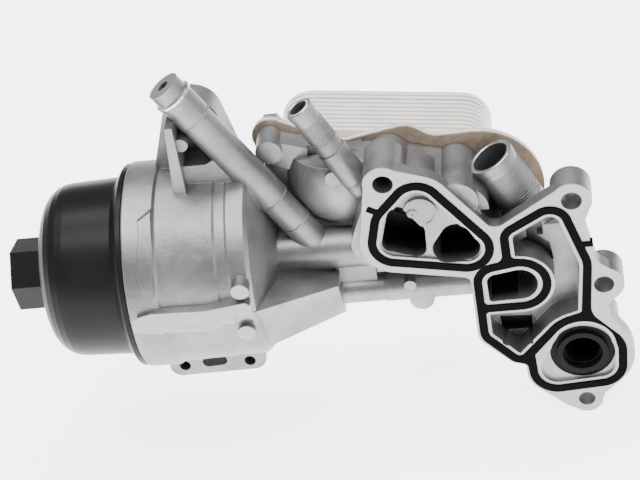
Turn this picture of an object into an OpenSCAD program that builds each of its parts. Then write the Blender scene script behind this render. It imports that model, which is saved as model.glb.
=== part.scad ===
// Engine oil filter housing with screw cap, paper cartridge and plate oil cooler.
// The origin is the centre of the round oil port, on the flange face.
// The flange faces -Y, the filter barrel lies along X with its cap at -X, +Z is up.

/* [Filter barrel] */
// Outer radius of the barrel's mouth collar
barrel_r = 44.3; // [43:0.1:47]
// Length of the barrel from its mouth to its shoulder
barrel_len = 52.6; // [50:0.1:58]
// Distance from the barrel's shoulder to the left edge of the cooler
barrel_gap = 11.7; // [10:0.1:14]
// Depth of the barrel's axis behind the flange face
axis_y = 15; // [12:0.5:18]
// Height of the barrel's axis above the round oil port
axis_z = 56.6; // [54:0.1:60]

/* [Screw cap] */
// Outer radius of the cap's dome
cap_r = 37.5; // [36:0.1:38.5]
// Length of the dome outside the barrel
dome_len = 39.5; // [38:0.5:50]
// Width across flats of the cap's hexagon
hex_af = 27; // [22:1:32]
// Length of the cap's hexagon
hex_len = 16; // [10:0.5:18]
// Radius of the screwed plug of the cap
thread_r = 37.8; // [37:0.1:38]
// Length of the cap's screwed plug inside the barrel
thread_len = 20; // [18:0.5:22]

/* [Filter cartridge] */
// Outer radius of the pleated paper
filter_r = 32; // [28:0.5:33]
// Free length in front of and behind the cartridge
filter_play = 1.1; // [0.5:0.1:2]
// Number of paper pleats
pleats = 40; // [24:2:60]

/* [Flange] */
// Thickness of the flange at its bolt bosses
boss_len = 13; // [10:0.5:16]
// Radius of the three clearance holes for M8 bolts
bolt_r = 4.25; // [4:0.05:4.5]
// Radius of the lower clearance hole, for an M6 bolt
small_bolt_r = 3.6; // [3.2:0.05:3.8]
// Width of the rubber seals
seal_w = 3.5; // [3:0.1:4]
// Depth of the seal grooves
seal_depth = 2.6; // [2:0.1:3.5]
// Radius of the round oil port's wall
port_r = 13.9; // [13:0.1:15]
// Inner radius of the sleeve in the round oil port
sleeve_r = 8.5; // [7:0.1:10]

/* [Oil cooler] */
// Width of the stack of cooler plates
cooler_w = 91; // [86:0.5:93]
// Height of the stack of cooler plates
cooler_h = 60; // [50:0.5:64]
// Number of cooler layers
layers = 10; // [8:1:12]
// Thickness of one cooler layer
layer_t = 3.15; // [2.8:0.05:3.4]
// Corner radius of the cooler plates
cooler_corner = 13.5; // [10:0.5:16]
// Depth of the cooler's base behind the flange face
base_y = 34; // [34:0.5:38]

/* [Hoses and plug] */
// Outer radius of the thin hose stub
thin_r = 5.6; // [5:0.1:6]
// Outer radius of the thick hose stub
thick_r = 9.6; // [9:0.1:10]
// Outer radius of the drilled oil gallery
gallery_r = 7.6; // [7:0.1:8.2]

/* [Hidden] */
$fn = 24;

fit = 0.05;            // running fit, radius
gap = 0.3;             // free gap between pieces that move apart
bite = 1;              // how far one casting feature sinks into the next
lap = 0.03;            // how far the arcs of an outline lap over its straights

cooler_mid = [-74.2, 98.6];
cooler_tilt = -7.3;
cooler_left = cooler_mid[0] - cooler_w / 2;
cooler_right = cooler_mid[0] + cooler_w / 2;
cooler_low = cooler_mid[1] - cooler_h;

shoulder_x = cooler_left - barrel_gap;
mouth_x = shoulder_x - barrel_len;
neck_x = shoulder_x + 7;
neck_r = 9;
neck_end = -84;
neck_bore = 6.2;
bore_r = thread_r + gap;
room_r = 35.4;
room_end = shoulder_x - 5;

hex_x = mouth_x - dome_len;
cap_wall = 3;
cap_in = cap_r - cap_wall - 0.5;
cap_floor = hex_x + cap_wall;
filter_x = cap_floor + 3;
filter_end = room_end - filter_play;
filter_len = filter_end - filter_x;
core_r = 13;
pipe_r = 8;
pipe_bore = 5.6;
pipe_tip = filter_x + 30;
cage_x = room_end + 6;
disc_t = 2.6;
seal_wall = 2.6;

h1 = [-74.5, 97];
h2 = [1.3, 80.6];
h3 = [11.6, 36.3];
h4 = [0, -25.7];

// Pulleys of a belt outline: x, z, radius. A negative radius is an inside bend.
// They are listed so that the outline runs with the metal on its left.
flange_line = [[0, -25.2, 6.8], [11.5, -25.5, -4], [1, -1, 21.3], [19, 22.5, -6.5],
    [h3[0], h3[1], 8], [15, 52, -6], [13.5, 68, -7.5], [h2[0], h2[1], 8.3],
    [-30.5, 76, -5], [-62, 85, 15], [h1[0], h1[1], 8], [-72.7, 66.7, 15.2],
    [-47.2, 42.7, -3.5], [-34, 16, 9.8], [-26.7, 3.5, 6.5], [-26.5, -5.5, -2],
    [-11, -7.8, 13.6], [-4, -24.3, 6.3]];
triangle_line = [[-72.7, 66.7, 10], [-44, 60.8, 9.8], [-62, 85, 9.8], [-69, 75, 11.6]];
three_port_line = [[-34, 16, 6.9], [-26.7, 3.5, 4], [-26.5, -5.5, -4.5],
    [-11, -7.8, 10.8], [7, -7.5, 9.8], [5.2, 0, 12], [15.5, 24.5, -12], [-9.6, 47, 15],
    [-8.5, 69.5, 7.5], [-21.5, 63.5, 6.3], [-33, 55.5, -5.3], [-33, 42, 8]];
chamber_line = [[-34, 16, 6.9], [-26.7, 3.5, 4], [0.5, 3.5, -16], [-0.4, 23.6, 3.6],
    [-9.6, 47, 15], [-8.5, 69.5, 7.5], [-21.5, 63.5, 6.3],
    [-24, 55.3, 3.6], [-23.5, 40, -11.5], [-37.3, 24.9, 3.6]];
oval_line = [[-37.4, 32.1, 3.6], [-23.5, 40, 11.5], [-33, 42, 8]];
oval_port_line = [[-35.4, 33.6, 1.6], [-23.5, 40, 7.7], [-33, 42, 4.2]];
round_line = [[-11, -7.8, 10.8], [7, -7.5, 9.8], [5.2, 0, 12], [0.5, 3.5, 16],
    [-19.2, 0.8, 3]];
left_port_line = [[-74.3, 66.3, 4.5], [-64.5, 62.5, 4.2], [-64.5, 71, 4.5], [-70.5, 80, 4.5]];
right_port_line = [[-51.5, 61, 6.5], [-44.5, 61, 6.5], [-47.5, 66.8, 6.5]];

// Bolts of the cooler plate, set out from the cooler's edges
plate_bolts = [[cooler_left - 2.6, 103.5], [cooler_right + 4.7, 54],
    [cooler_left + 10.7, cooler_low - 4.1], [cooler_right - 26.8, cooler_low - 10.6]];
plate_line = [[-38, 68, 28.3], [-52, 106, -10], [-67, 92, 10.3], [-92, 114, -16],
    lobe(plate_bolts[0], 8), [cooler_left - 13.3, 88, -6], lobe(plate_bolts[2], 8),
    lobe(plate_bolts[3], 8)];
cooler_ports = [[-69, 72], [-47.5, 64], [-92, 82], [-26, 70]];
seat_line = [lobe(plate_bolts[2], 7.5), lobe(plate_bolts[3], 7.5), lobe(plate_bolts[1], 9),
    [-26, 70, 9], [-45.5, 80, 8.9], [-59, 99, -9], [-73.5, 87, 9], [-108, 90, 7]];
seat_front_line = [[-99, 77, 15.5], [-60, 70, 8], [-45.5, 80, 8.9], [-59, 99, -9],
    [-73.5, 87, 9], [-108, 94.5, 8]];
seat_t = 1;
flange_plate_t = 2.6;
core_y = base_y + seat_t + flange_plate_t;
sleeve_len = 19;

ear_at = [shoulder_x - 21.4, 119.5];
ear_y = 36;
gallery_top = [shoulder_x - 23.8, 139];
gallery_end = [shoulder_x + 14.9, 74.5];
gallery_bore = 4.6;
washer_t = 1;
plug_head = 6;
gallery_tilt = atan2(gallery_top[0] - gallery_end[0], gallery_top[1] - gallery_end[1]);
gallery_len = norm(gallery_top - gallery_end);
stub_floor = 62;       // height of the ledge that the thick stub stands on
thin_mouth = [-105.7, 128.4];
thick_mouth = [-30.7, 92.5];
stub_tilt = -26.5;
past_mouth = [-0.45, 0.9];

function direction(a) = [cos(a), sin(a)];
// A pulley of the given radius round a point
function lobe(at, r) = [at[0], at[1], r];
// The point that lies s further down a slanted bar
function down(top, tilt, s) = [top[0] - s * sin(tilt), top[1] - s * cos(tilt)];
// Direction of the outward normal of the straight between two pulleys
function normal_angle(p, q) = atan2(q[1] - p[1], q[0] - p[0])
    - acos((p[2] - q[2]) / norm([q[0] - p[0], q[1] - p[1]]));
// A pulley moved outwards by grow, less the lap by which its disc covers the straights
function pulley(p, grow) = [p[0], p[1], p[2] + grow - sign(p[2]) * lap];

// Outline of a belt round its pulleys, moved outwards by grow
module belt(line, grow = 0) {
    n = len(line);
    inner = [for (p = line) pulley(p, grow)];
    difference() {
        union() {
            polygon([
                for (i = [0:n - 1])
                    let (before = inner[(i + n - 1) % n],
                        here = inner[i],
                        after = inner[(i + 1) % n],
                        middle = [here[0], here[1]])
                    each [middle + here[2] * direction(normal_angle(before, here)),
                        middle,
                        middle + here[2] * direction(normal_angle(here, after))]
            ]);
            for (p = line)
                if (p[2] > 0 && p[2] + grow > 0)
                    translate([p[0], p[1]])
                        circle(r = p[2] + grow);
        }
        for (p = line)
            if (p[2] < 0)
                translate([p[0], p[1]])
                    circle(r = -p[2] - grow);
    }
}

// Extrudes an outline drawn in x and z from y0 back to y1
module slab(y0, y1) {
    translate([0, y1, 0])
        rotate([90, 0, 0])
            linear_extrude(y1 - y0)
                children();
}

// A round bar from y0 back to y1
module post(at, r, y0, y1) {
    translate([at[0], y0, at[1]])
        rotate([-90, 0, 0])
            cylinder(r = r, h = y1 - y0);
}

// Places things drawn along +Z on the barrel's axis, pointing to +X
module on_axis(x) {
    translate([x, axis_y, axis_z])
        rotate([0, 90, 0])
            children();
}

module ring(x, r_out, r_in, len) {
    on_axis(x)
        difference() {
            cylinder(r = r_out, h = len);
            translate([0, 0, -bite])
                cylinder(r = r_in, h = len + 2 * bite);
        }
}

// A round bar in the plane at depth y, from its top end downwards
module slant(top, y, tilt, r, len) {
    translate([top[0], y, top[1]])
        rotate([0, tilt + 180, 0])
            cylinder(r = r, h = len);
}

// Casting

module barrel_shell() {
    on_axis(mouth_x)
        rotate_extrude()
            polygon([[0, 0], [barrel_r - 0.6, 0], [barrel_r, 0.6], [barrel_r, 13],
                [barrel_r - 1.1, 14.2], [barrel_r - 1.6, 38], [barrel_r - 2.2, 39],
                [barrel_r - 2.2, 43], [barrel_r - 1.8, 44], [barrel_r - 2.1, 51],
                [barrel_r - 3.5, barrel_len], [neck_r + 3, neck_x - mouth_x], [0, neck_x - mouth_x]]);
}

module barrel_cavity() {
    on_axis(mouth_x - bite)
        cylinder(r = bore_r, h = thread_len + 4 + bite);
    on_axis(mouth_x)
        cylinder(r = room_r, h = room_end - mouth_x);
}

module neck() {
    on_axis(neck_x - bite)
        cylinder(r = neck_r, h = neck_end - neck_x + 2 * bite);
}

module flange_deck() {
    slab(0, 6)
        belt(flange_line);
    post(h1, 8.4, 0, 22);
    for (h = [h2, h3])
        post(h, 8.6, 0, boss_len);
    post(h4, 7.1, 0, 10);
}

module flange_body() {
    difference() {
        slab(4, 30)
            belt(three_port_line, -0.5);
        translate([-40, 9, stub_floor])
            cube([50, 30, 30]);
    }
    slab(4, 24)
        belt(triangle_line, 0.5);
    slab(4, base_y)
        belt([[-80, 64, 12], [-44, 62, 12], [-46, 80, 8], [-76, 84, 8]]);
}

module columns() {
    post([-73.5, 89.8], 9.8, 3, base_y);
    post([-45.5, 83], 8.9, 3, base_y);
    post(plate_bolts[0], 5.6, 21, base_y);
    for (b = [plate_bolts[1], plate_bolts[2], plate_bolts[3]])
        post(b, 6, 20, base_y);
    slab(24, base_y)
        polygon([plate_bolts[0] + [-4, -4], plate_bolts[0] + [1, -9], [-108, 90], [-106, 102],
            plate_bolts[0] + [4, 3]]);
}

// Rounded oil chamber behind the triangular port, with its seat for the cooler
module bowl() {
    intersection() {
        translate([-94.5, base_y, 85.5])
            sphere(r = 24);
        translate([-130, 0, 40])
            cube([60, base_y - 2, 58]);
    }
    post([-95.9, 94.4], 3.5, 10.8, 20);
    slab(base_y - 4, base_y)
        belt(seat_line);
    slab(base_y - 8, base_y - 3)
        belt(seat_front_line);
}

// The half of space beyond a plane that is tipped from +Z and then turned
module beyond(point, tip, turn) {
    translate(point)
        rotate([0, tip, turn])
            translate([-60, -60, 0])
                cube([120, 120, 60]);
}

// Sloped rib from the barrel's shoulder to the lower gallery
module wedge() {
    crest = [shoulder_x - 0.1, -26.4, 57.4];
    difference() {
        translate([shoulder_x - bite, -28, 27])
            cube([32.9, 46, 34]);
        beyond(crest, 12.8, 17);
        beyond(crest, 111.9, -58.1);
    }
}

module lower_gallery() {
    translate([shoulder_x + 27, 12, 36])
        rotate([0, 90, 0])
            cylinder(r = 6.2, h = 25);
    translate([-81, 12, 36])
        rotate([0, 90, 0])
            cylinder(r = 6.6, h = 44);
    slab(9.5, 14)
        polygon([[shoulder_x + 30, 33], [-84, 36], [-84, 60], [shoulder_x + 30, 60]]);
    post([-65.8, 31.6], 5.3, 6, 18);
    post([-70, 40.6], 2.6, 4.5, 12);
}

// Raised pads on the front of the barrel
module barrel_pads() {
    intersection() {
        on_axis(mouth_x)
            cylinder(r = barrel_r + 1.2, h = barrel_len);
        slab(axis_y - barrel_r - 4, axis_y - 15)
            polygon([[mouth_x + 7.5, 95.3], [mouth_x + 13, 97.3], [mouth_x + 13.5, 88],
                [mouth_x + 11.6, 69.5], [mouth_x + 8.5, 69], [mouth_x + 6, 79.7],
                [mouth_x + 8, 92.8]]);
    }
    slab(axis_y - barrel_r - 1.9, axis_y - 20)
        polygon([[mouth_x + 3.7, 62.8], [mouth_x + 9.4, 64.2], [shoulder_x - 20.2, 63.5],
            [shoulder_x - 3.1, 66], [shoulder_x - 1.2, 64.5], [shoulder_x - 18, 52.3],
            [mouth_x + 14, 54], [mouth_x + 8.8, 56.2]]);
    post([shoulder_x - 4.5, 70.5], 3.8, axis_y - barrel_r - 0.4, axis_y - 20);
    post([shoulder_x - 5, 49], 3.8, axis_y - barrel_r - 0.4, axis_y - 20);
}

module ear() {
    slab(ear_y - 12, ear_y)
        belt([lobe(ear_at, 12.3), [shoulder_x - 38.6, 92, 4], [shoulder_x - 18.6, 88, 4],
            [shoulder_x - 7.6, 92, 5]]);
}

// Thin wall and saddle that carry the gallery tube on the barrel
module bracket() {
    slab(4, 25)
        polygon([[shoulder_x - 28.4, 131], [shoulder_x - 25.3, 131], [shoulder_x - 25, 90],
            [shoulder_x - 31, 90]]);
    slab(10, 25)
        polygon([[shoulder_x - 26.2, 108.1], [shoulder_x - 16, 108], [shoulder_x - 12.3, 110],
            [shoulder_x - 7, 102], [shoulder_x - 4.5, 90], [shoulder_x - 26.2, 90]]);
    post([shoulder_x - 24.2, 119.7], 3.1, 8, 25);
}

module bottom_lug() {
    slab(8, 26)
        belt([[mouth_x + 8, 4, 5.4], [shoulder_x - 12.6, 5.2, 6], [shoulder_x - 14.6, 20, 6],
            [mouth_x + 12, 20, 6]]);
}

module hose_stubs() {
    slant(thin_mouth, 15, stub_tilt, thin_r + 0.4, 2.5);
    slant(thin_mouth, 15, stub_tilt, thin_r, 42);
    slant(down(thin_mouth, stub_tilt, 24), 15, stub_tilt, thin_r + 0.6, 17);
    slant(thick_mouth, 20, stub_tilt, thick_r + 0.4, 3);
    slant(thick_mouth, 20, stub_tilt, thick_r, 40);
}

module gallery_tube() {
    slant(gallery_top, axis_y, gallery_tilt, gallery_r, 12.3);
    slant(gallery_top, axis_y, gallery_tilt, gallery_r - 0.4, 63);
    slant(gallery_top, axis_y, gallery_tilt, gallery_r - 0.9, gallery_len + 18);
}

module casting_solid() {
    barrel_shell();
    neck();
    flange_deck();
    flange_body();
    columns();
    bowl();
    wedge();
    lower_gallery();
    barrel_pads();
    ear();
    bracket();
    bottom_lug();
    hose_stubs();
    gallery_tube();
}

module seal_shape(outer, holes) {
    difference() {
        belt(outer, seal_w / 2);
        for (h = holes)
            belt(h, -seal_w / 2);
    }
}

module triangle_shape() {
    seal_shape(triangle_line, [triangle_line]);
    translate([-83, 84.5])
        rotate(-30)
            square([5, 2.4]);
}

module three_port_shape() {
    seal_shape(three_port_line, [chamber_line, oval_line, round_line]);
    translate([4, 57])
        square([4.6, 2.4]);
}

module flange_cuts() {
    slab(-bite, seal_depth)
        triangle_shape();
    slab(-bite, seal_depth)
        three_port_shape();
    post(h1, bolt_r, -bite, 20);
    for (h = [h2, h3])
        post(h, bolt_r, -bite, base_y - 4);
    post(h4, small_bolt_r, -bite, 12);
    slab(-bite, 1.2)
        difference() {
            belt(triangle_line, -seal_w / 2 - 1.6);
            translate([-61, 81.5])
                circle(r = 7);
        }
    slab(-bite, 20)
        belt(left_port_line);
    slab(-bite, 20)
        belt(right_port_line);
    slab(-bite, 11)
        belt(chamber_line, -seal_w / 2 - 1.6);
    slab(-bite, 16)
        polygon([[-34, 15.2], [-20.4, 14.4], [-20.6, 7.4], [-33.5, 7.6]]);
    slab(-bite, 16)
        polygon([[-23, 54], [-16.1, 58.6], [-9.7, 52.6], [-8.6, 43.7], [-21, 45]]);
    translate([-19, 8, 57])
        cube([7, 7, 8]);
    slab(-bite, 1.5)
        belt([for (i = [0:3]) round_line[i]], -seal_w / 2 - 1.7);
    slab(-bite, 20)
        belt(oval_port_line);
    post([0, 0], port_r, -bite, sleeve_len + 2);
}

module passage_cuts() {
    for (p = cooler_ports) {
        post(p, 5, 16, base_y + bite);
        post(p, 7.2, base_y - 2, base_y + bite);
    }
    on_axis(room_end - bite)
        cylinder(r = neck_bore, h = 40);
    slant(thin_mouth + past_mouth, 15, stub_tilt, thin_r - 1.6, 48);
    slant(thick_mouth + past_mouth, 20, stub_tilt, thick_r - 1.6, 36);
    slant(gallery_top, axis_y, gallery_tilt, gallery_bore, gallery_len + 16);
    for (b = plate_bolts)
        post(b, 2.5, base_y - 10, base_y + bite);
    post(ear_at, 3.4, ear_y - 11, ear_y + bite);
    for (x = [mouth_x + 9.4, shoulder_x - 14.1])
        post([x, 4], 2.5, 7, 22);
    slab(7, 27)
        belt([[mouth_x + 20, 5, 2.5], [shoulder_x - 26.6, 5.4, 2.5]]);
}

module housing() {
    color("silver")
        difference() {
            casting_solid();
            barrel_cavity();
            flange_cuts();
            passage_cuts();
        }
}

module triangle_seal() {
    color("black")
        slab(0, seal_depth)
            triangle_shape();
}

module three_port_seal() {
    color("black")
        slab(0, seal_depth)
            three_port_shape();
}

module port_sleeve() {
    color("dimgray")
        rotate([-90, 0, 0])
            rotate_extrude()
                polygon([[sleeve_r, 0], [sleeve_r + 2.5, 0], [sleeve_r + 2.5, 2],
                    [port_r, 2], [port_r, sleeve_len + 2],
                    [sleeve_r - 2, sleeve_len + 2], [sleeve_r - 2, sleeve_len],
                    [sleeve_r, sleeve_len]]);
}

module gallery_plug() {
    color("gray")
        translate([gallery_top[0], axis_y, gallery_top[1]])
            rotate([0, gallery_tilt, 0])
                difference() {
                    union() {
                        translate([0, 0, washer_t])
                            cylinder(r = gallery_r - 0.4, h = plug_head);
                        translate([0, 0, -12])
                            cylinder(r = gallery_bore, h = 12 + 2 * washer_t);
                    }
                    translate([0, 0, washer_t + plug_head - 5])
                        cylinder(r = 2.9, h = 5 + bite, $fn = 6);
                }
}

module plug_washer() {
    color("silver")
        translate([gallery_top[0], axis_y, gallery_top[1]])
            rotate([0, gallery_tilt, 0])
                difference() {
                    cylinder(r = gallery_r + 0.8, h = washer_t);
                    translate([0, 0, -bite])
                        cylinder(r = gallery_bore + fit, h = washer_t + 2 * bite);
                }
}

// Oil cooler

module cooler_base_plate() {
    color("peru")
        slab(base_y, base_y + seat_t)
            difference() {
                belt(plate_line);
                for (b = plate_bolts)
                    translate(b)
                        circle(r = 3.3);
                for (p = cooler_ports)
                    translate(p)
                        circle(r = 5);
            }
}

module cooler_flange_plate() {
    color("gainsboro")
        slab(base_y + seat_t, core_y)
            difference() {
                belt(plate_line, -0.4);
                for (b = plate_bolts)
                    translate(b)
                        circle(r = 3.3);
                for (p = cooler_ports)
                    translate(p)
                        circle(r = 5);
            }
}

module cooler_outline(inset) {
    c = cooler_corner;
    translate(cooler_mid)
        rotate(cooler_tilt)
            belt([[c - cooler_w / 2, c - cooler_h, c], [cooler_w / 2 - c, c - cooler_h, c],
                [cooler_w / 2 - c, -c, c], [c - cooler_w / 2, -c, c]], -inset);
}

module cooler_core() {
    color("whitesmoke")
        for (i = [0:layers - 1]) {
            slab(core_y + i * layer_t, core_y + i * layer_t + 2.1)
                cooler_outline(0);
            slab(core_y + i * layer_t + 2.1, core_y + (i + 1) * layer_t)
                cooler_outline(0.5);
        }
}

module cooler_port_rings() {
    color("black")
        for (p = cooler_ports)
            translate([p[0], base_y - 2, p[1]])
                rotate([-90, 0, 0])
                    difference() {
                        cylinder(r = 7.2, h = 2);
                        translate([0, 0, -bite])
                            cylinder(r = 5.2, h = 2 + 2 * bite);
                    }
}

module cooler_bolts() {
    color("dimgray")
        for (b = plate_bolts) {
            post(b, 2.5, base_y - 9, core_y);
            post(b, 6, core_y, core_y + 1.2);
            translate([b[0], core_y + 1.2, b[1]])
                rotate([-90, 0, 0])
                    cylinder(r = 5.77, h = 5, $fn = 6);
        }
}

// Standpipe and bypass valve, on the barrel's axis

module standpipe() {
    color("darkgray")
        union() {
            ring(pipe_tip, pipe_r, pipe_bore, room_end - pipe_tip);
            ring(room_end, neck_bore, 5, 5);
        }
}

module bypass_seat() {
    color("gray")
        ring(pipe_tip - 3, pipe_r, 3.2, 3);
}

module bypass_poppet() {
    color("goldenrod")
        on_axis(pipe_tip + fit)
            union() {
                cylinder(r = pipe_bore - gap, h = 2);
                cylinder(r = 2, h = 12);
            }
}

module bypass_spring() {
    color("lightgray")
        ring(pipe_tip + 2 + fit, 4.2, 3.2, 14);
}

module bypass_retainer() {
    color("gray")
        ring(pipe_tip + 16 + fit, pipe_bore, 2.6, 2);
}

module drainback_cage() {
    color("dimgray")
        union() {
            ring(cage_x, neck_bore, 5.4, 14);
            ring(cage_x, neck_bore, 3.4, 1.5);
            ring(cage_x + 12.5, neck_bore, 2, 1.5);
        }
}

module drainback_disc() {
    color("orange")
        on_axis(cage_x + 1.5 + fit)
            cylinder(r = 5, h = 1.4);
}

module drainback_spring() {
    color("lightgray")
        ring(cage_x + 2.9 + 2 * fit, 3.6, 2.8, 12.5 - 2.9 - 3 * fit);
}

// Paper cartridge

module pleat_outline() {
    polygon([for (i = [0:2 * pleats - 1])
        let (r = i % 2 == 0 ? filter_r : core_r + 4, a = 180 * i / pleats)
        [r * cos(a), r * sin(a)]]);
}

module filter_pleats() {
    color("khaki")
        on_axis(filter_x + disc_t)
            linear_extrude(filter_len - 2 * disc_t)
                difference() {
                    pleat_outline();
                    circle(r = core_r + 1.6);
                }
}

module filter_inner_core() {
    color("dimgray")
        ring(filter_x + disc_t, core_r + 1.6, core_r, filter_len - 2 * disc_t);
}

module filter_front_disc() {
    color("olive")
        ring(filter_x, filter_r + 0.6, 6, disc_t);
}

module filter_rear_disc() {
    color("olive")
        ring(filter_end - disc_t, filter_r + 0.6, pipe_r + seal_wall, disc_t);
}

module rear_disc_seal() {
    color("black")
        ring(filter_end - disc_t, pipe_r + seal_wall, pipe_r + fit, disc_t);
}

// Screw cap

module screw_cap() {
    top = mouth_x - hex_x;
    round_r = 12.5;
    rim_r = barrel_r - 0.7;
    color([0.13, 0.13, 0.14])
        difference() {
            union() {
                on_axis(hex_x)
                    rotate_extrude()
                        polygon(concat([[0, 0], [cap_r - round_r, 0]],
                            [for (a = [-75:15:0]) [cap_r - round_r + round_r * cos(a),
                                round_r + round_r * sin(a)]],
                            [[cap_r + 0.8, top - 6], [rim_r - 0.6, top - 3],
                            [rim_r, top - 2.4], [rim_r, top - gap], [thread_r, top - gap],
                            [thread_r, top + thread_len], [0, top + thread_len]]));
                on_axis(hex_x - hex_len)
                    rotate(16.4)
                        cylinder(r = hex_af / sqrt(3), h = hex_len + bite, $fn = 6);
            }
            on_axis(hex_x)
                rotate_extrude()
                    polygon(concat([[0, cap_wall], [cap_in - 6, cap_wall]],
                        [for (a = [-75:15:0]) [cap_in - 6 + 6 * cos(a), cap_wall + 6 + 6 * sin(a)]],
                        [[cap_in, 2 * barrel_len], [0, 2 * barrel_len]]));
            on_axis(hex_x - hex_len - bite)
                cylinder(r = 8.5, h = hex_len - 4);
            on_axis(mouth_x + 2)
                difference() {
                    cylinder(r = thread_r + bite, h = 3);
                    cylinder(r = thread_r - 1.6, h = 3);
                }
        }
}

module cap_seal_ring() {
    color("darkgreen")
        ring(mouth_x + 2, thread_r, thread_r - 1.6, 3);
}

module cap_catch() {
    color("dimgray")
        union() {
            ring(cap_floor, 9, 5.6, filter_x - cap_floor - gap);
            ring(cap_floor, 5.6, 4, filter_x - cap_floor + disc_t + 2);
        }
}

housing();
triangle_seal();
three_port_seal();
port_sleeve();
gallery_plug();
plug_washer();
cooler_base_plate();
cooler_flange_plate();
cooler_core();
cooler_port_rings();
cooler_bolts();
standpipe();
bypass_seat();
bypass_poppet();
bypass_spring();
bypass_retainer();
drainback_cage();
drainback_disc();
drainback_spring();
filter_pleats();
filter_inner_core();
filter_front_disc();
filter_rear_disc();
rear_disc_seal();
screw_cap();
cap_seal_ring();
cap_catch();
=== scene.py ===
import math

import bmesh
import bpy
from mathutils import Matrix, Vector


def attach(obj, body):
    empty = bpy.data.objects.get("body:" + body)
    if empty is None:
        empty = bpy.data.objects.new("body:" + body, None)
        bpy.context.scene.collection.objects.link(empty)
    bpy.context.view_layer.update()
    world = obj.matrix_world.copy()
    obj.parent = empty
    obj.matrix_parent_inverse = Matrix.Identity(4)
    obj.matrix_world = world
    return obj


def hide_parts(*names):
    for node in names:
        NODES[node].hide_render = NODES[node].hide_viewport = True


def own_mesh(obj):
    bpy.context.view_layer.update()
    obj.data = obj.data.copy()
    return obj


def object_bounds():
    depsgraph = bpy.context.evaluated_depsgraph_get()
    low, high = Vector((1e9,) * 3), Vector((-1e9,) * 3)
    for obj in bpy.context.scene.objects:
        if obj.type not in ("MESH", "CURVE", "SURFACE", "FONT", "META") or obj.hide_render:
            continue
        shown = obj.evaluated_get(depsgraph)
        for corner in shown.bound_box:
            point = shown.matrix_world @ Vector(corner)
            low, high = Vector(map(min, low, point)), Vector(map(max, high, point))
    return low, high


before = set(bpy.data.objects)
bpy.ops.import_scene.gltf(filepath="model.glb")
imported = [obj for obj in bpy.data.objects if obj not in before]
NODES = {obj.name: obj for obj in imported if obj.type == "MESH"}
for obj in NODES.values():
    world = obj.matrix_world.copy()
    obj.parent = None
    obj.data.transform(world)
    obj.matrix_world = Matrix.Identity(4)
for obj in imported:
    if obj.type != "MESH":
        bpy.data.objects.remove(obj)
cad_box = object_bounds()

MM = 0.001


# Camera, at the photograph's angle

def make_camera():
    data = bpy.data.cameras.new("camera")
    data.sensor_width = 36.0
    data.lens = 123.75
    data.clip_start = 0.05
    data.clip_end = 20.0
    camera = bpy.data.objects.new("camera", data)
    bpy.context.scene.collection.objects.link(camera)
    right = Vector((0.988, 0.052, -0.144)).normalized()
    back = Vector((0.1275, -0.8025, 0.5828)).normalized()
    up = back.cross(right).normalized()
    right = up.cross(back).normalized()
    turn = Matrix((right, up, back)).transposed().to_4x4()
    camera.matrix_world = Matrix.Translation((0.0131, -0.7369, 0.6071)) @ turn
    bpy.context.scene.camera = camera
    return camera


# Materials

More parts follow.
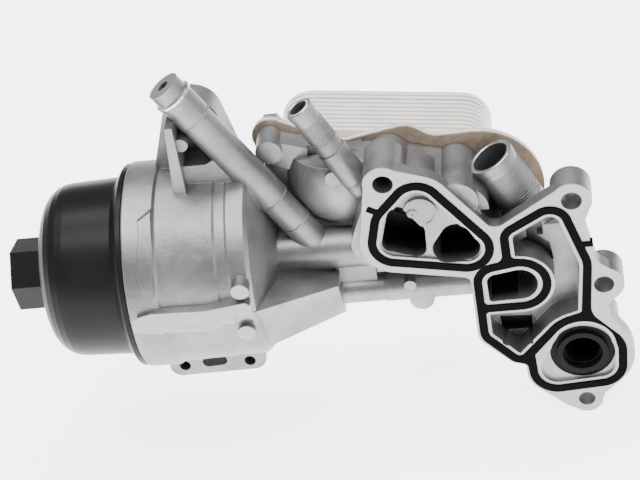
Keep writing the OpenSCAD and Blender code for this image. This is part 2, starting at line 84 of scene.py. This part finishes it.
class Nodes:
    def __init__(self, name):
        self.material = bpy.data.materials.new(name)
        self.material.use_nodes = True
        self.tree = self.material.node_tree
        self.tree.nodes.clear()
        self.output = self.tree.nodes.new("ShaderNodeOutputMaterial")
        self.shader = self.tree.nodes.new("ShaderNodeBsdfPrincipled")
        self.link(self.shader.outputs["BSDF"], self.output.inputs["Surface"])
        self.place = self.tree.nodes.new("ShaderNodeTexCoord").outputs["Object"]

    def new(self, kind, **sockets):
        node = self.tree.nodes.new(kind)
        for key, value in sockets.items():
            node.inputs[key.replace("_", " ")].default_value = value
        return node

    def link(self, a, b):
        self.tree.links.new(a, b)

    def noise(self, scale, detail=3.0, rough=0.5, place=None):
        node = self.new("ShaderNodeTexNoise", Scale=scale, Detail=detail, Roughness=rough)
        self.link(place or self.place, node.inputs["Vector"])
        return node.outputs["Fac"]

    def math(self, op, a, b=None, clamp=False):
        node = self.new("ShaderNodeMath")
        node.operation = op
        node.use_clamp = clamp
        for i, value in enumerate((a, b)):
            if value is None:
                continue
            if isinstance(value, (int, float)):
                node.inputs[i].default_value = value
            else:
                self.link(value, node.inputs[i])
        return node.outputs[0]

    def ramp(self, fac, stops):
        node = self.new("ShaderNodeValToRGB")
        ramp = node.color_ramp
        while len(ramp.elements) < len(stops):
            ramp.elements.new(0.5)
        for element, (at, color) in zip(ramp.elements, stops):
            element.position = at
            element.color = (*color, 1.0)
        self.link(fac, node.inputs["Fac"])
        return node.outputs["Color"]

    def span(self, fac, low, high):
        node = self.new("ShaderNodeMapRange", To_Min=low, To_Max=high)
        self.link(fac, node.inputs["Value"])
        return node.outputs["Result"]

    def mix(self, fac, a, b):
        node = self.new("ShaderNodeMix")
        node.data_type = "RGBA"
        self.link(fac, node.inputs[0])
        for socket, value in ((node.inputs[6], a), (node.inputs[7], b)):
            if isinstance(value, tuple):
                socket.default_value = (*value, 1.0)
            else:
                self.link(value, socket)
        return node.outputs[2]

    def blend(self, fac, a, b):
        node = self.new("ShaderNodeMix")
        node.data_type = "FLOAT"
        self.link(fac, node.inputs[0])
        for socket, value in ((node.inputs[2], a), (node.inputs[3], b)):
            if isinstance(value, (int, float)):
                socket.default_value = value
            else:
                self.link(value, socket)
        return node.outputs[0]

    # 1 inside a round hollow, rising from 0 between two depths
    def inside(self, at, axis, radius, start, end, floor):
        away = self.new("ShaderNodeVectorMath")
        away.operation = "SUBTRACT"
        self.link(self.place, away.inputs[0])
        away.inputs[1].default_value = [c * MM for c in at]
        across = self.new("ShaderNodeVectorMath")
        across.operation = "CROSS_PRODUCT"
        depth = self.new("ShaderNodeVectorMath")
        depth.operation = "DOT_PRODUCT"
        for node in (across, depth):
            self.link(away.outputs["Vector"], node.inputs[0])
            node.inputs[1].default_value = axis
        length = self.new("ShaderNodeVectorMath")
        length.operation = "LENGTH"
        self.link(across.outputs["Vector"], length.inputs[0])
        near = self.math("LESS_THAN", length.outputs["Value"], radius)
        ramp = self.new("ShaderNodeMapRange", From_Min=start, From_Max=end)
        ramp.clamp = True
        self.link(depth.outputs["Value"], ramp.inputs["Value"])
        above = self.math("LESS_THAN", depth.outputs["Value"], floor)
        return self.math("MULTIPLY", self.math("MULTIPLY", near, above), ramp.outputs["Result"])

    def bump(self, height, distance, strength=1.0, after=None):
        node = self.new("ShaderNodeBump", Distance=distance, Strength=strength)
        self.link(height, node.inputs["Height"])
        if after is not None:
            self.link(after, node.inputs["Normal"])
        return node.outputs["Normal"]


def gray(v):
    return (v, v, v * 1.01)


# Painted shade in the hollows of the casting: the metal's colour is darkened to near black deep in the ports and
# stubs, where shade falls. Each row gives a point on the axis, the way in, radius, the depths between which the
# painted shade deepens, and the depth of the floor, in millimetres
DOWN = (0.446, 0.0, -0.895)
IN = (0.0, 1.0, 0.0)
PAINTED_SHADE_HOLLOWS = [
    ((-69.0, 0.0, 70.5), IN, 14.2, 1.4, 7.0, 20.5),
    ((-47.5, 0.0, 63.5), IN, 11.0, 1.4, 7.0, 20.5),
    ((-30.5, 0.0, 40.0), IN, 9.6, 0.6, 6.0, 20.5),
    ((-27.0, 0.0, 11.3), IN, 8.2, 9.0, 13.0, 16.5),
    ((-16.0, 0.0, 50.5), IN, 11.0, 10.0, 26.0, 18.0),
    ((-74.5, 0.0, 97.0), IN, 4.4, 4.0, 26.0, 20.5),
    ((-105.7, 15.0, 128.4), DOWN, 4.2, 0.3, 9.0, 40.0),
    ((-30.7, 20.0, 92.5), DOWN, 8.2, 0.3, 14.0, 35.0),
]


def cast_aluminium():
    n = Nodes("cast_aluminium")
    blotch = n.noise(38.0, 4.0, 0.62)
    grain = n.noise(900.0, 3.0, 0.6)
    grit = n.noise(3500.0, 2.0, 0.6)
    cast = n.ramp(blotch, [(0.3, gray(0.15)), (0.5, gray(0.24)), (0.7, gray(0.34))])
    cast = n.mix(n.span(grain, 0.0, 0.55), cast, gray(0.15))
    parts = n.new("ShaderNodeSeparateXYZ")
    n.link(n.place, parts.inputs[0])
    face = n.new("ShaderNodeNewGeometry")
    normal = n.new("ShaderNodeSeparateXYZ")
    n.link(face.outputs["True Normal"], normal.inputs[0])
    flat = n.math("LESS_THAN", normal.outputs["Y"], -0.995)
    front = n.math("LESS_THAN", parts.outputs["Y"], 0.0004)
    boss = n.inside((-61.0, 0.0, 81.5), IN, 7.05 * MM, -2.0 * MM, -1.0 * MM, 3.0 * MM)
    milled = n.math("MULTIPLY", n.math("MULTIPLY", flat, front), n.math("SUBTRACT", 1.0, boss))
    lines = n.new("ShaderNodeTexNoise", Scale=1.0, Detail=2.0)
    stretch = n.new("ShaderNodeMapping")
    stretch.inputs["Scale"].default_value = (120.0, 120.0, 2600.0)
    stretch.inputs["Rotation"].default_value = (0.0, 0.5, 0.0)
    n.link(n.place, stretch.inputs["Vector"])
    n.link(stretch.outputs["Vector"], lines.inputs["Vector"])
    metal = n.ramp(lines.outputs["Fac"], [(0.3, gray(0.22)), (0.7, gray(0.30))])
    color = n.mix(milled, cast, metal)
    # Painted shade: the colour is pulled towards near black inside each listed hollow, deeper in
    for at, axis, radius, start, end, floor in PAINTED_SHADE_HOLLOWS:
        painted_shade = n.inside(at, axis, radius * MM, start * MM, end * MM, floor * MM)
        color = n.mix(painted_shade, color, gray(0.03))
    n.link(color, n.shader.inputs["Base Color"])
    n.link(n.blend(milled, n.span(blotch, 0.36, 0.54), 0.32), n.shader.inputs["Roughness"])
    n.shader.inputs["Metallic"].default_value = 0.85
    edge = n.new("ShaderNodeBevel", Radius=0.0005)
    edge.samples = 6
    wave = n.bump(n.noise(170.0, 3.0, 0.55), 0.0005, 0.4, edge.outputs["Normal"])
    rough = n.bump(grain, 0.00014, 0.6, wave)
    fine = n.bump(grit, 0.00005, 0.4, rough)
    smooth = n.bump(lines.outputs["Fac"], 0.00002, 0.3, edge.outputs["Normal"])
    pick = n.new("ShaderNodeMix")
    pick.data_type = "VECTOR"
    n.link(milled, pick.inputs[0])
    n.link(fine, pick.inputs[4])
    n.link(smooth, pick.inputs[5])
    n.link(pick.outputs[1], n.shader.inputs["Normal"])
    return n.material


def plain_metal(name, low, high, rough, metallic=0.9, scale=300.0):
    n = Nodes(name)
    grain = n.noise(scale, 3.0, 0.6)
    n.link(n.ramp(grain, [(0.3, low), (0.7, high)]), n.shader.inputs["Base Color"])
    n.link(n.span(grain, rough - 0.06, rough + 0.08), n.shader.inputs["Roughness"])
    n.shader.inputs["Metallic"].default_value = metallic
    edge = n.new("ShaderNodeBevel", Radius=0.0003)
    n.link(n.bump(grain, 0.00004, 0.4, edge.outputs["Normal"]), n.shader.inputs["Normal"])
    return n.material


# Pressed plates of the cooler, with a tanned line of solder at each joint
def cooler_plates():
    n = Nodes("cooler_aluminium")
    parts = n.new("ShaderNodeSeparateXYZ")
    n.link(n.place, parts.inputs[0])
    layer = n.math("FRACT", n.math("DIVIDE", n.math("SUBTRACT", parts.outputs["Y"], 0.0376), 0.00315))
    joint = n.math("GREATER_THAN", layer, 0.62)
    cloud = n.noise(60.0, 4.0, 0.6)
    grain = n.noise(700.0, 3.0, 0.6)
    plate = n.ramp(cloud, [(0.3, (0.86, 0.83, 0.81)), (0.7, (0.94, 0.93, 0.92))])
    solder = n.ramp(cloud, [(0.3, (0.55, 0.46, 0.39)), (0.7, (0.74, 0.68, 0.62))])
    n.link(n.mix(joint, plate, solder), n.shader.inputs["Base Color"])
    n.link(n.span(grain, 0.36, 0.5), n.shader.inputs["Roughness"])
    n.shader.inputs["Metallic"].default_value = 0.15
    edge = n.new("ShaderNodeBevel", Radius=0.0006)
    n.link(n.bump(grain, 0.00004, 0.4, edge.outputs["Normal"]), n.shader.inputs["Normal"])
    return n.material


def moulded(name, color, rough, gloss=0.5, grain_size=1200.0):
    n = Nodes(name)
    grain = n.noise(grain_size, 3.0, 0.6)
    cloud = n.noise(45.0, 3.0, 0.6)
    low = tuple(c * 0.85 for c in color)
    high = tuple(min(1.0, c * 1.25) for c in color)
    n.link(n.ramp(cloud, [(0.3, low), (0.7, high)]), n.shader.inputs["Base Color"])
    n.link(n.span(grain, rough - 0.05, rough + 0.07), n.shader.inputs["Roughness"])
    n.shader.inputs["Specular IOR Level"].default_value = gloss
    edge = n.new("ShaderNodeBevel", Radius=0.0006)
    n.link(n.bump(grain, 0.00003, 0.5, edge.outputs["Normal"]), n.shader.inputs["Normal"])
    return n.material


ALUMINIUM = cast_aluminium()
CAP = moulded("black_cap_plastic", (0.008, 0.008, 0.009), 0.33, 0.1)
RUBBER = moulded("black_seal_rubber", (0.003, 0.003, 0.003), 0.5, 0.012)
SLEEVE = moulded("black_sleeve_plastic", (0.005, 0.005, 0.005), 0.42, 0.06)
GREEN = moulded("green_rubber", (0.05, 0.2, 0.08), 0.5)
STEEL = plain_metal("steel", gray(0.42), gray(0.55), 0.35)
DARK_STEEL = plain_metal("dark_steel", gray(0.20), gray(0.28), 0.42)
SHEET = plain_metal("brazed_sheet", (0.38, 0.29, 0.21), (0.52, 0.42, 0.32), 0.42, 0.5)
COOLER = cooler_plates()
BRIGHT = plain_metal("bright_edge", gray(0.72), gray(0.82), 0.24, 0.95)
PAPER = moulded("filter_paper", (0.72, 0.62, 0.36), 0.8)

FINISH = {
    "housing": ALUMINIUM, "triangle_seal": RUBBER, "three_port_seal": RUBBER,
    "port_sleeve": SLEEVE, "gallery_plug": DARK_STEEL, "plug_washer": BRIGHT,
    "cooler_base_plate": SHEET, "cooler_flange_plate": COOLER, "cooler_core": COOLER,
    "cooler_port_rings": RUBBER, "cooler_bolts": STEEL, "standpipe": STEEL,
    "bypass_seat": STEEL, "bypass_poppet": STEEL, "bypass_spring": STEEL,
    "bypass_retainer": STEEL, "drainback_cage": SLEEVE, "drainback_disc": RUBBER,
    "drainback_spring": STEEL, "filter_pleats": PAPER, "filter_inner_core": SLEEVE,
    "filter_front_disc": GREEN, "filter_rear_disc": GREEN, "rear_disc_seal": RUBBER,
    "screw_cap": CAP, "cap_seal_ring": GREEN, "cap_catch": SLEEVE,
}


def paint(obj, material):
    obj.data.materials.clear()
    obj.data.materials.append(material)


for name, obj in NODES.items():
    paint(obj, FINISH[name])


# Pieces that the plain solids leave out

def make_piece(name, points, faces, material, body, smooth=True):
    mesh = bpy.data.meshes.new(name)
    mesh.from_pydata([tuple(p) for p in points], [], faces)
    mesh.update()
    work = bmesh.new()
    work.from_mesh(mesh)
    bmesh.ops.recalc_face_normals(work, faces=work.faces)
    work.to_mesh(mesh)
    work.free()
    if smooth:
        mesh.shade_smooth()
    piece = bpy.data.objects.new(name, mesh)
    bpy.context.scene.collection.objects.link(piece)
    mesh.materials.append(material)
    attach(piece, body)
    return piece


def axes_of(direction):
    forward = Vector(direction).normalized()
    side = forward.cross(Vector((0.0, 1.0, 0.0) if abs(forward.y) < 0.9 else (1.0, 0.0, 0.0)))
    side.normalize()
    return forward, side, forward.cross(side)


# Closed rings turned round an axis; each profile is a closed list of (along, radius) in mm
def turned_rings(name, start, direction, profiles, material, body, steps=96):
    forward, side, other = axes_of(direction)
    points = []
    faces = []
    for profile in profiles:
        base = len(points)
        count = len(profile)
        for k in range(steps):
            a = 2 * math.pi * k / steps
            out = side * math.cos(a) + other * math.sin(a)
            for along, radius in profile:
                points.append((Vector(start) + forward * along + out * radius) * MM)
        for k in range(steps):
            here = base + k * count
            after = base + ((k + 1) % steps) * count
            for m in range(count):
                m2 = (m + 1) % count
                faces.append((here + m, here + m2, after + m2, after + m))
    return make_piece(name, points, faces, material, body)


# A bar of the given section wound round an axis; the section is a list of (along, radius) in mm
def wound(name, start, direction, section, pitch, turns, material, body, steps=60, hand=1):
    forward, side, other = axes_of(direction)
    points = []
    faces = []
    count = len(section)
    total = int(turns * steps)
    for k in range(total + 1):
        a = 2 * math.pi * k / steps
        out = side * math.cos(a) + other * (hand * math.sin(a))
        for along, radius in section:
            points.append((Vector(start) + forward * (along + pitch * k / steps) + out * radius) * MM)
    for k in range(total):
        for m in range(count):
            m2 = (m + 1) % count
            faces.append((k * count + m, k * count + m2, (k + 1) * count + m2, (k + 1) * count + m))
    faces.append(tuple(range(count)))
    faces.append(tuple(total * count + m for m in range(count)))
    return make_piece(name, points, faces, material, body)


def round_section(radius, middle, count=8):
    return [(radius * math.cos(2 * math.pi * i / count), middle + radius * math.sin(2 * math.pi * i / count))
            for i in range(count)]


def rib(along, radius, height, width):
    return [(along - width / 2, radius - 0.15), (along - width / 4, radius + height),
            (along + width / 4, radius + height), (along + width / 2, radius - 0.15)]


# A slab of the outline drawn in x and z, from y0 back to y1, in mm
def slab(name, outline, y0, y1, material, body):
    count = len(outline)
    points = [Vector((x, y, z)) * MM for y in (y0, y1) for x, z in outline]
    faces = [tuple(range(count)), tuple(range(count, 2 * count))]
    faces += [(i, (i + 1) % count, count + (i + 1) % count, count + i) for i in range(count)]
    return make_piece(name, points, faces, material, body, smooth=False)


# Part of a turned ring round an axis along y, between two angles in degrees
def turned_sector(name, centre, profile, start, end, material, body, steps=40):
    points = []
    faces = []
    count = len(profile)
    for k in range(steps + 1):
        a = math.radians(start + (end - start) * k / steps)
        for along, radius in profile:
            points.append(Vector((centre[0] + radius * math.cos(a), along, centre[1] + radius * math.sin(a))) * MM)
    for k in range(steps):
        for m in range(count):
            m2 = (m + 1) % count
            faces.append((k * count + m, k * count + m2, (k + 1) * count + m2, (k + 1) * count + m))
    faces.append(tuple(range(count)))
    faces.append(tuple(steps * count + m for m in range(count)))
    return make_piece(name, points, faces, material, body, smooth=False)


AXIS_Y = 15.0
AXIS_Z = 56.6
SHOULDER = -131.4
MOUTH = SHOULDER - 52.6
THIN = (-105.7, 15.0, 128.4)
THICK = (-30.7, 20.0, 92.5)

# Forms of the casting that its solid leaves out
slab("seat_wall", [(-124.0, 101.0), (-116.7, 104.8), (-111.2, 102.2), (-105.0, 103.0), (-99.0, 98.6),
     (-92.0, 97.2), (-84.0, 98.0), (-80.0, 80.0), (-82.0, 61.0), (-88.7, 61.2), (-102.0, 65.3), (-112.0, 70.2),
     (-119.0, 77.6), (-121.0, 88.8), (-123.0, 94.0)], 25.85, 33.9, ALUMINIUM, "casting")
turned_rings("thin_stub_root", (-88.75, 15.0, 94.4), DOWN, [[(0.0, 0.05), (0.0, 6.15), (8.0, 6.15), (10.5, 5.4),
             (12.5, 3.4), (13.2, 0.05)]], ALUMINIUM, "casting")
slab("rear_wall", [(-72.0, 98.0), (-66.0, 95.0), (-58.0, 92.2), (-51.0, 90.5), (-49.0, 82.0),
     (-72.0, 82.0)], 7.0, 33.85, ALUMINIUM, "casting")
slab("rear_column", [(-44.75 + 12.0 * math.cos(math.radians(a)), 77.0 + 12.0 * math.sin(math.radians(a)))
     for a in range(-4, 185, 6)], 5.5, 33.9, ALUMINIUM, "casting")
turned_sector("oval_wall", (-23.5, 40.0), [(-0.02, 7.72), (-0.02, 9.73), (2.65, 9.76), (2.65, 13.24),
              (-0.02, 13.27), (-0.02, 14.83), (11.0, 14.83), (15.9, 12.0), (15.9, 7.72)], 8.0, 93.0,
              ALUMINIUM, "casting")
slab("slot_wall", [(-35.8, 11.6), (-30.9, 5.9), (-31.6, 5.7), (-36.5, 11.4)], -0.02, 15.9,
     ALUMINIUM, "casting")
turned_rings("thin_stub_ribs", THIN, DOWN, [rib(8.0 + 1.15 * i, 5.6, 0.22, 0.75) for i in range(10)],
             ALUMINIUM, "casting")
turned_rings("thick_stub_ribs", THICK, DOWN, [rib(6.2 + 1.2 * i, 9.6, 0.24, 0.8) for i in range(16)],
             ALUMINIUM, "casting")
turned_rings("thin_stub_lip", THIN, DOWN, [[(0.25, 4.0), (-0.12, 4.35), (-0.12, 5.5), (0.3, 5.95)]],
             BRIGHT, "casting")
turned_rings("thick_stub_lip", THICK, DOWN, [[(0.25, 8.0), (-0.12, 8.35), (-0.12, 9.4), (0.3, 9.95)]],
             BRIGHT, "casting")
turned_rings("sleeve_ribs", (0.0, 0.0, 0.0), IN, [[(3.0 + 2.4 * i, 8.6), (3.5 + 2.4 * i, 7.7),
             (4.3 + 2.4 * i, 7.7), (4.8 + 2.4 * i, 8.6)] for i in range(6)], SLEEVE, "casting")
wound("cap_thread", (MOUTH + 6.5, AXIS_Y, AXIS_Z), (1, 0, 0),
      [(-0.9, 37.7), (-0.3, 38.0), (0.3, 38.0), (0.9, 37.7)], 3.0, 3.8, CAP, "cap", 96, -1)


# The cooler's fourth port is closed at the back
turned_rings("gallery_rings", (SHOULDER - 23.8, AXIS_Y, 139.0), (0.5146, 0.0, -0.8575),
             [rib(12.3, 7.4, 0.4, 0.9), rib(63.0, 6.6, 0.8, 1.4), rib(78.0, 6.5, 0.6, 1.2)], ALUMINIUM, "casting")
slab("crotch_web", [(-130.0, 47.0), (-116.5, 47.0), (-116.5, 64.0), (-122.0, 68.0), (-130.0, 68.0)],
     30.0, 32.0, ALUMINIUM, "casting")
turned_rings("pocket_pin", (-64.2, 0.0, 81.3), IN, [[(-0.5, 0.05), (-0.5, 1.7), (-0.2, 2.3), (0.7, 2.6),
             (0.7, 0.05)]], ALUMINIUM, "casting")
LIP = [math.radians(-70 + 10 * i) for i in range(20)]
slab("pocket_lip", [(-61 + 7.0 * math.cos(a), 81.5 + 7.0 * math.sin(a)) for a in LIP]
     + [(-61 + 6.1 * math.cos(a), 81.5 + 6.1 * math.sin(a)) for a in reversed(LIP)], -0.4, 0.3,
     ALUMINIUM, "casting")
turned_rings("port_blank", (-26.0, 34.4, 70.0), IN, [[(0.0, 0.05), (0.0, 5.1), (3.22, 5.1), (3.22, 0.05)]],
             COOLER, "casting")


# Seals stand a little proud of the flange, with rounded edges
def proud_seal(node):
    source = NODES[node]
    mesh = source.data.copy()
    mesh.name = node + "_moulding"
    piece = bpy.data.objects.new(mesh.name, mesh)
    piece.matrix_world = source.matrix_world.copy()
    bpy.context.scene.collection.objects.link(piece)
    for vertex in mesh.vertices:
        if vertex.co.y < 0.0001:
            vertex.co.y = -0.00055
    paint(piece, RUBBER)
    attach(piece, "casting")
    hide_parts(node)


proud_seal("triangle_seal")
proud_seal("three_port_seal")


# Coil springs of the two valves
def coil(name, node, start, length, middle, wire, turns):
    section = round_section(wire, middle)
    pitch = (length - 2 * wire) / turns
    piece = wound(name, (start + wire, AXIS_Y, AXIS_Z), (1, 0, 0), section, pitch, turns, STEEL, "casting", 32)
    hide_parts(node)
    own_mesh(piece)


PIPE_TIP = MOUTH - 39.5 + 3.0 + 3.0 + 30.0
coil("bypass_coil", "bypass_spring", PIPE_TIP + 2.05, 14.0, 3.7, 0.45, 6)
coil("drainback_coil", "drainback_spring", SHOULDER + 4.0, 9.45, 3.2, 0.35, 5)


# Floor and lights

def area_light(name, at, size, energy, target=(-0.09, 0.02, 0.05)):
    data = bpy.data.lights.new(name, "AREA")
    data.shape = "RECTANGLE"
    data.size = size[0]
    data.size_y = size[1]
    data.energy = energy
    light = bpy.data.objects.new(name, data)
    light.location = at
    aim = Vector(target) - Vector(at)
    light.rotation_euler = aim.to_track_quat("-Z", "Y").to_euler()
    bpy.context.scene.collection.objects.link(light)
    return light


def make_floor():
    mesh = bpy.data.meshes.new("floor")
    s = 6.0
    z = cad_box[0][2] - 0.0005
    mesh.from_pydata([(-s, -s, z), (s, -s, z), (s, s, z), (-s, s, z)], [], [(0, 1, 2, 3)])
    floor = bpy.data.objects.new("floor", mesh)
    bpy.context.scene.collection.objects.link(floor)
    n = Nodes("floor")
    n.link(n.ramp(n.noise(3.0), [(0.3, (0.9, 0.9, 0.9)), (0.7, (0.92, 0.92, 0.92))]),
           n.shader.inputs["Base Color"])
    n.shader.inputs["Roughness"].default_value = 0.9
    n.shader.inputs["Emission Color"].default_value = (1.0, 1.0, 1.0, 1.0)
    n.shader.inputs["Emission Strength"].default_value = 3.8
    mesh.materials.append(n.material)


def make_world():
    world = bpy.data.worlds.new("studio")
    world.use_nodes = True
    back = world.node_tree.nodes["Background"]
    back.inputs["Color"].default_value = (1.0, 1.0, 1.0, 1.0)
    back.inputs["Strength"].default_value = 0.35
    bpy.context.scene.world = world


make_camera()
make_floor()
make_world()
area_light("key", (-0.3, -0.3, 1.1), (0.7, 0.4), 12.0)
area_light("fill", (0.7, -0.6, 0.6), (0.4, 0.7), 3.5)
area_light("top", (-0.1, 0.3, 1.0), (1.0, 0.3), 12.0)
